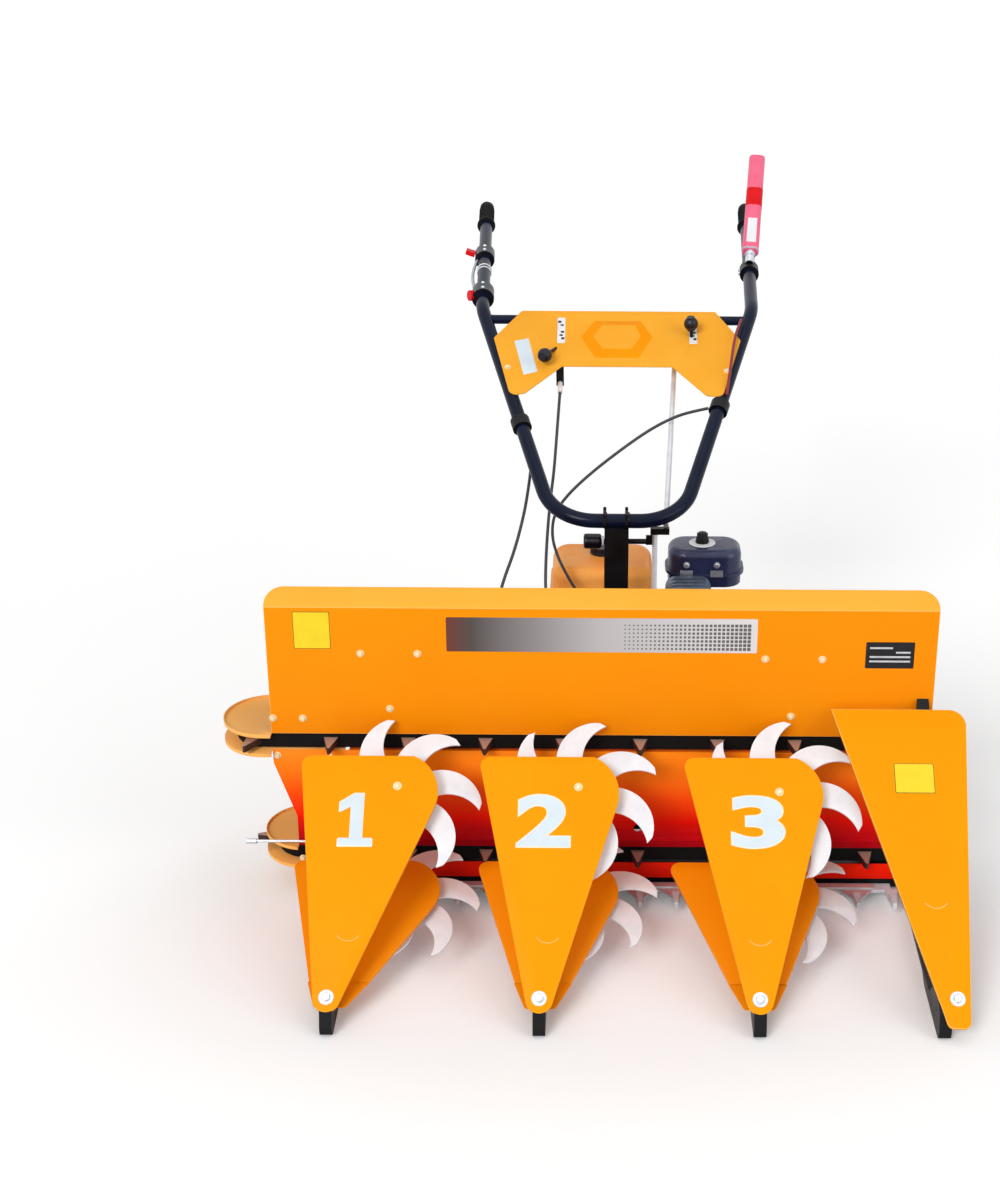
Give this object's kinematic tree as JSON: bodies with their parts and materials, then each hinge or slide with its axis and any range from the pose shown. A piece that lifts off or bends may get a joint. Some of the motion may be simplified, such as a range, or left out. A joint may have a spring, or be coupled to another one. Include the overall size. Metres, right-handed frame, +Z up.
{
  "type": "walk-behind mini reaper",
  "caption": "Walk-behind reaper: header wall with gathering belts, row dividers over star wheels, cutter bar, two-wheel power unit and handles.",
  "frame": {"origin": "on the ground under the middle of the whole machine's box", "axes": "+Y to the rear, towards the grips; +X across, to the right seen from in front; +Z up"},
  "size_m": [1.5248, 2.2734, 1.2682],
  "materials": {
    "orange_paint": "glossy powder coat",
    "belt_rubber": "black rubber belt",
    "lug_plastic": "moulded brown lugs",
    "pulley_iron": "painted casting",
    "zinc_steel": "zinc-plated steel",
    "black_paint": "satin black paint",
    "gear_casting": "dark painted casting",
    "knife_steel": "hardened cutting steel",
    "star_plastic": "moulded light grey plastic",
    "tyre_rubber": "agricultural tyre",
    "rim_paint": "white painted pressed rim",
    "engine_alloy": "die-cast alloy",
    "dark_plastic": "moulded dark plastic",
    "muffler_steel": "heat-resistant paint",
    "grip_rubber": "moulded grip",
    "red_plastic": "moulded red plastic",
    "pink_sleeve": "moulded pink sleeve",
    "cable_jacket": "black cable sheath"
  },
  "bodies": {
    "chassis": {"header_back_panel": "orange_paint", "header_mid_panel": "orange_paint", "header_skirt": "orange_paint", "upper_belt": "belt_rubber", "upper_belt_lugs": "lug_plastic", "lower_belt": "belt_rubber", "lower_belt_lugs": "lug_plastic", "belt_drive_pulleys": "pulley_iron", "belt_idler_pulleys": "pulley_iron", "upper_discharge_guard": "orange_paint", "lower_discharge_guard": "orange_paint", "guide_wire": "zinc_steel", "header_frame": "black_paint", "header_drive": "gear_casting", "cutter_bar": "black_paint", "divider_upper_covers": "orange_paint", "divider_lower_covers": "orange_paint", "star_brackets": "star_plastic", "divider_arms": "black_paint", "side_divider_arm": "black_paint", "side_divider_plate": "orange_paint", "gearbox": "gear_casting", "handle_stem": "black_paint", "clutch_housing": "gear_casting", "engine_block": "engine_alloy", "engine_bed": "black_paint", "recoil_starter": "dark_plastic", "fuel_tank": "orange_paint", "fuel_cap": "dark_plastic", "tank_bracket": "black_paint", "air_filter": "dark_plastic", "air_filter_elbow": "dark_plastic", "muffler": "muffler_steel", "handlebar": "black_paint", "crossbar": "black_paint", "handle_clamp": "black_paint", "grips": "grip_rubber", "control_panel": "orange_paint", "control_housings": "dark_plastic", "thumb_controls": "red_plastic", "clutch_lever": "black_paint", "clutch_sleeve": "pink_sleeve", "lever_knobs": "dark_plastic", "shift_rods": "zinc_steel", "control_linkage": "black_paint", "cable_gearbox": "gear_casting", "cable_header": "cable_jacket", "cable_clutch": "cable_jacket", "cable_throttle": "red_plastic"},
    "wheel_left": {"tyre_left": "tyre_rubber", "wheel_rim_left": "rim_paint"},
    "wheel_right": {"tyre_right": "tyre_rubber", "wheel_rim_right": "rim_paint"},
    "star_a_upper": {"star_a_upper": "star_plastic"},
    "star_a_lower": {"star_a_lower": "star_plastic"},
    "star_b_upper": {"star_b_upper": "star_plastic"},
    "star_b_lower": {"star_b_lower": "star_plastic"},
    "star_c_upper": {"star_c_upper": "star_plastic"},
    "star_c_lower": {"star_c_lower": "star_plastic"},
    "knife": {"knife": "knife_steel"}
  },
  "joints": [
    {"name": "wheel_left_spin", "type": "hinge", "parent": "chassis", "child": "wheel_left", "pos_m": [-0.23343, -0.11579, 0.205], "axis": [1, 0, 0], "continuous": true},
    {"name": "wheel_right_spin", "type": "hinge", "parent": "chassis", "child": "wheel_right", "pos_m": [0.34657, -0.11579, 0.205], "axis": [1, 0, 0], "continuous": true},
    {"name": "star_a_upper_spin", "type": "hinge", "parent": "chassis", "child": "star_a_upper", "pos_m": [-0.38343, -0.75749, 0.31291], "axis": [0, -0.6494, 0.7604], "continuous": true},
    {"name": "star_a_lower_spin", "type": "hinge", "parent": "chassis", "child": "star_a_lower", "pos_m": [-0.38343, -0.79589, 0.10178], "axis": [0, -0.2874, 0.9578], "continuous": true},
    {"name": "star_b_upper_spin", "type": "hinge", "parent": "chassis", "child": "star_b_upper", "pos_m": [-0.02343, -0.75749, 0.31291], "axis": [0, -0.6494, 0.7604], "continuous": true},
    {"name": "star_b_lower_spin", "type": "hinge", "parent": "chassis", "child": "star_b_lower", "pos_m": [-0.02343, -0.79589, 0.10178], "axis": [0, -0.2874, 0.9578], "continuous": true},
    {"name": "star_c_upper_spin", "type": "hinge", "parent": "chassis", "child": "star_c_upper", "pos_m": [0.38257, -0.75749, 0.31291], "axis": [0, -0.6494, 0.7604], "continuous": true},
    {"name": "star_c_lower_spin", "type": "hinge", "parent": "chassis", "child": "star_c_lower", "pos_m": [0.38257, -0.79589, 0.10178], "axis": [0, -0.2874, 0.9578], "continuous": true},
    {"name": "knife_slide", "type": "slide", "parent": "chassis", "child": "knife", "axis": [1, 0, 0], "range_m": [-0.025, 0.025]}
  ]
}
